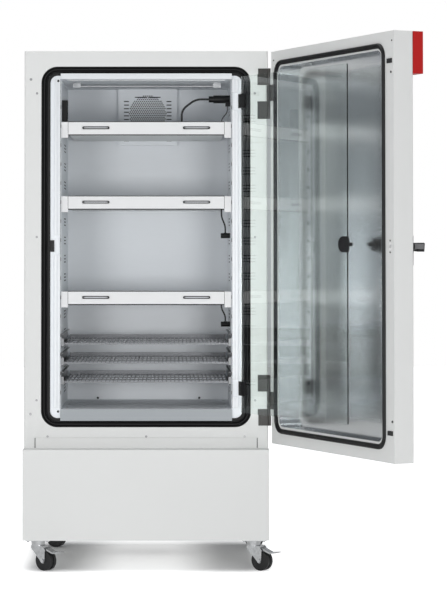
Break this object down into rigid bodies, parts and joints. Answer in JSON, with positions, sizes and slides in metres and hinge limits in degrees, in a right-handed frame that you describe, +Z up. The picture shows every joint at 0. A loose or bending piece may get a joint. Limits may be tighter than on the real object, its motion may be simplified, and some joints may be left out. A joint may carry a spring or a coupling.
{
  "type": "plant growth chamber",
  "caption": "Upright insulated growth chamber on castors with an open insulated outer door, inner glass door, lamp cassettes, slotted air walls and wire racks.",
  "frame": {"origin": "on the floor, under the middle of the whole with its doors open as in the picture", "axes": "+Z up, -Y out of the cabinet front, +X to the right seen from the front, where the hinges are"},
  "size_m": [1.4372, 1.5662, 1.959],
  "materials": {
    "panel": "satin",
    "plinth": "satin",
    "steel": "brushed",
    "liner": "satin",
    "foam": "matt",
    "seal": "matt",
    "door_seal": "matt",
    "trim": "satin",
    "hinge": "satin",
    "black": "satin",
    "cassette": "gloss",
    "diffuser": "satin",
    "lamp": "satin",
    "cable": "matt",
    "wire": "polished",
    "red": "gloss",
    "screen": "gloss",
    "glass": "clear",
    "zinc": "satin",
    "wheel": "matt",
    "lever": "satin",
    "cooling": "satin",
    "fan": "satin",
    "plug": "satin"
  },
  "bodies": {
    "cabinet": {"front_frame": "panel", "service_panel": "panel", "side_panels": "panel", "top_panel": "panel", "rear_panel": "panel", "insulation": "foam", "chamber_liner": "liner", "wall_panels": "liner", "back_wall": "liner", "fan_cover": "liner", "fan_motor": "black", "frame_gasket": "seal", "opening_trim": "trim", "frame_screws": "steel", "door_hinges": "hinge", "glass_door_fittings": "black", "light_cassettes": "cassette", "light_rails": "cassette", "light_diffusers": "diffuser", "lamp_tubes": "lamp", "light_connectors": "black", "light_cable_1": "cable", "light_cable_2": "cable", "light_cable_3": "cable", "sensor_cable": "cable", "hanger_rod": "steel", "climate_sensor": "black", "rack_runners": "steel", "plinth_cover": "plinth", "plinth_base": "plinth", "rear_grille": "plinth", "cooling_unit": "cooling", "castor_plates": "zinc", "port_sleeve": "diffuser"},
    "outer_door": {"door_shell": "panel", "door_inner_panel": "steel", "door_gasket": "door_seal", "door_hinge_arms": "hinge", "door_fittings": "black", "display_housing": "red", "display_screen": "screen"},
    "lever": {"door_lever": "lever"},
    "glass_door": {"glass_pane": "glass", "glass_clamps": "black", "glass_handle": "black"},
    "fan": {"fan_rotor": "fan"},
    "port_plug": {"port_plug": "plug"},
    "rack_1": {"rack_1": "wire"},
    "rack_2": {"rack_2": "wire"},
    "rack_3": {"rack_3": "wire"},
    "castor_1": {"castor_fork_1": "zinc"},
    "wheel_1": {"castor_wheel_1": "wheel"},
    "pedal_1": {"brake_pedal_1": "zinc"},
    "castor_2": {"castor_fork_2": "zinc"},
    "wheel_2": {"castor_wheel_2": "wheel"},
    "pedal_2": {"brake_pedal_2": "zinc"},
    "castor_3": {"castor_fork_3": "zinc"},
    "wheel_3": {"castor_wheel_3": "wheel"},
    "castor_4": {"castor_fork_4": "zinc"},
    "wheel_4": {"castor_wheel_4": "wheel"}
  },
  "joints": [
    {"name": "outer_door_swing", "type": "hinge", "parent": "cabinet", "child": "outer_door", "pos_m": [0.21564, 0.05813, 1.214], "axis": [0, 0, 1], "range_deg": [-114.5, 5.5]},
    {"name": "glass_door_swing", "type": "hinge", "parent": "cabinet", "child": "glass_door", "pos_m": [0.10764, 0.05863, 1.222], "axis": [0, 0, 1], "range_deg": [-121.25, 5.87]},
    {"name": "lever_turn", "type": "hinge", "parent": "outer_door", "child": "lever", "pos_m": [0.67654, -0.71209, 1.214], "axis": [0.91, 0.4147, 0], "range_deg": [0, 45]},
    {"name": "rack_1_slide", "type": "slide", "parent": "cabinet", "child": "rack_1", "axis": [0, -1, 0], "range_m": [0, 0.4]},
    {"name": "rack_2_slide", "type": "slide", "parent": "cabinet", "child": "rack_2", "axis": [0, -1, 0], "range_m": [0, 0.4]},
    {"name": "rack_3_slide", "type": "slide", "parent": "cabinet", "child": "rack_3", "axis": [0, -1, 0], "range_m": [0, 0.4]},
    {"name": "fan_spin", "type": "hinge", "parent": "cabinet", "child": "fan", "pos_m": [-0.25136, 0.61013, 1.73925], "axis": [0, 1, 0], "continuous": true},
    {"name": "port_plug_pull", "type": "slide", "parent": "cabinet", "child": "port_plug", "axis": [-1, 0, 0], "range_m": [0, 0.07]},
    {"name": "castor_1_swivel", "type": "hinge", "parent": "cabinet", "child": "castor_1", "pos_m": [-0.65736, 0.03513, 0.1015], "axis": [0, 0, 1], "continuous": true},
    {"name": "wheel_1_roll", "type": "hinge", "parent": "castor_1", "child": "wheel_1", "pos_m": [-0.62697, 0.01231, 0.0375], "axis": [0.6004, 0.7997, 0], "continuous": true},
    {"name": "brake_1_press", "type": "hinge", "parent": "castor_1", "child": "pedal_1", "pos_m": [-0.62377, 0.00991, 0.0805], "axis": [0.6004, 0.7997, 0], "range_deg": [0, 12]},
    {"name": "castor_2_swivel", "type": "hinge", "parent": "cabinet", "child": "castor_2", "pos_m": [0.15464, 0.03513, 0.1015], "axis": [0, 0, 1], "continuous": true},
    {"name": "wheel_2_roll", "type": "hinge", "parent": "castor_2", "child": "wheel_2", "pos_m": [0.18503, 0.01231, 0.0375], "axis": [0.6004, 0.7997, 0], "continuous": true},
    {"name": "brake_2_press", "type": "hinge", "parent": "castor_2", "child": "pedal_2", "pos_m": [0.18823, 0.00991, 0.0805], "axis": [0.6004, 0.7997, 0], "range_deg": [0, 12]},
    {"name": "castor_3_swivel", "type": "hinge", "parent": "cabinet", "child": "castor_3", "pos_m": [-0.65736, 0.70313, 0.1015], "axis": [0, 0, 1], "continuous": true},
    {"name": "wheel_3_roll", "type": "hinge", "parent": "castor_3", "child": "wheel_3", "pos_m": [-0.62165, 0.69013, 0.0375], "axis": [0.342, 0.9397, 0], "continuous": true},
    {"name": "castor_4_swivel", "type": "hinge", "parent": "cabinet", "child": "castor_4", "pos_m": [0.15464, 0.70313, 0.1015], "axis": [0, 0, 1], "continuous": true},
    {"name": "wheel_4_roll", "type": "hinge", "parent": "castor_4", "child": "wheel_4", "pos_m": [0.17907, 0.67402, 0.0375], "axis": [0.766, 0.6428, 0], "continuous": true}
  ],
  "couplings": [
    {"joint": "glass_door_swing", "follows": "outer_door_swing", "ratio": 1.0585}
  ]
}
